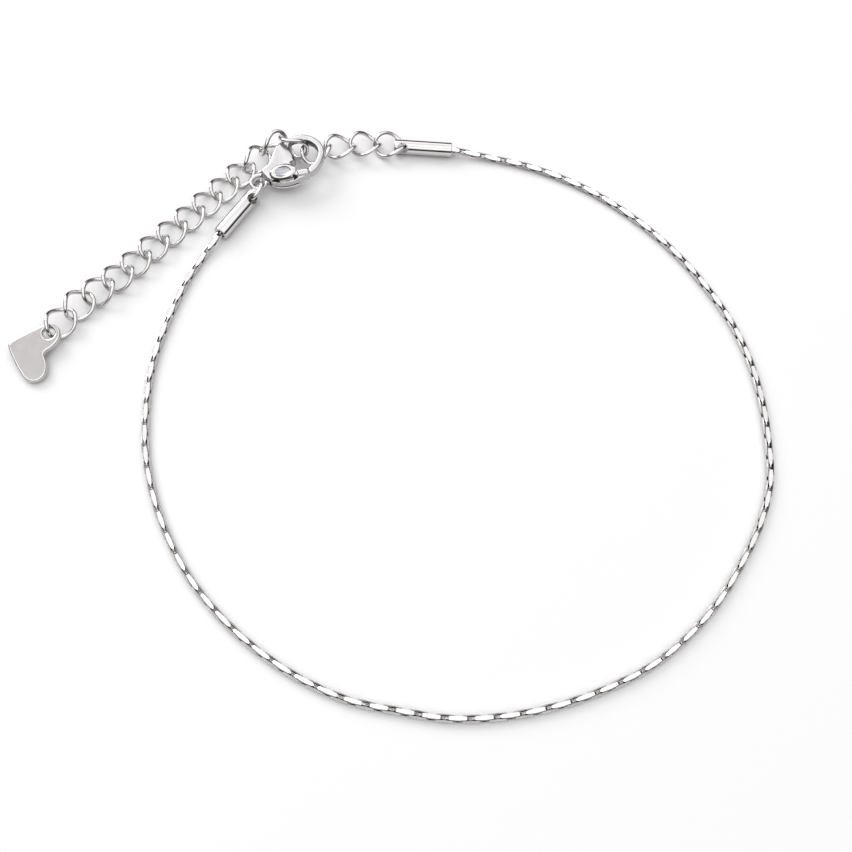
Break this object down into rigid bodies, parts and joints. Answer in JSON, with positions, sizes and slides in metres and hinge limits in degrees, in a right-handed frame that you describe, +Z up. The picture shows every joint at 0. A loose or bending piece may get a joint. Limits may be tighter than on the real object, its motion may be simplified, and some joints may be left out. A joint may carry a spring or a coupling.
{
  "type": "chain anklet with lobster clasp",
  "caption": "Polished steel anklet: a fine chain between end tubes, closed by a lobster clasp on a curb extender chain that ends in a heart tag.",
  "frame": {"origin": "centre of the bounding box on the surface that the anklet lies on", "axes": "+Z up from the surface, +X across the loop away from the heart tag, +Y towards the clasp"},
  "size_m": [0.0884, 0.0744, 0.0042],
  "materials": {
    "chain_steel": "polished",
    "extender_steel": "polished",
    "clasp_steel": "polished",
    "tag_steel": "polished"
  },
  "bodies": {
    "anklet": {"fine_chain": "chain_steel", "end_tube_right": "chain_steel", "end_tube_left": "chain_steel", "extender_link_01": "extender_steel", "extender_link_02": "extender_steel", "extender_link_03": "extender_steel", "extender_link_04": "extender_steel", "extender_link_05": "extender_steel", "extender_link_06": "extender_steel", "extender_link_07": "extender_steel", "extender_link_08": "extender_steel", "extender_link_09": "extender_steel", "extender_link_10": "extender_steel", "extender_link_11": "extender_steel", "extender_link_12": "extender_steel", "extender_link_13": "extender_steel", "extender_link_14": "extender_steel", "extender_link_15": "extender_steel", "extender_link_16": "extender_steel", "extender_link_17": "extender_steel", "extender_link_18": "extender_steel", "clasp_ring": "clasp_steel", "clasp_body": "clasp_steel", "heart_tag": "tag_steel"},
    "lever": {"clasp_lever": "clasp_steel"}
  },
  "joints": [
    {"name": "lever_hinge", "type": "hinge", "parent": "anklet", "child": "lever", "pos_m": [-0.01746, 0.02719, 0.00184], "axis": [-0.1082, -0.0876, 0.9903], "range_deg": [0, 18], "stiffness_Nm_per_rad": 0.002, "springref_deg": -17.19}
  ]
}
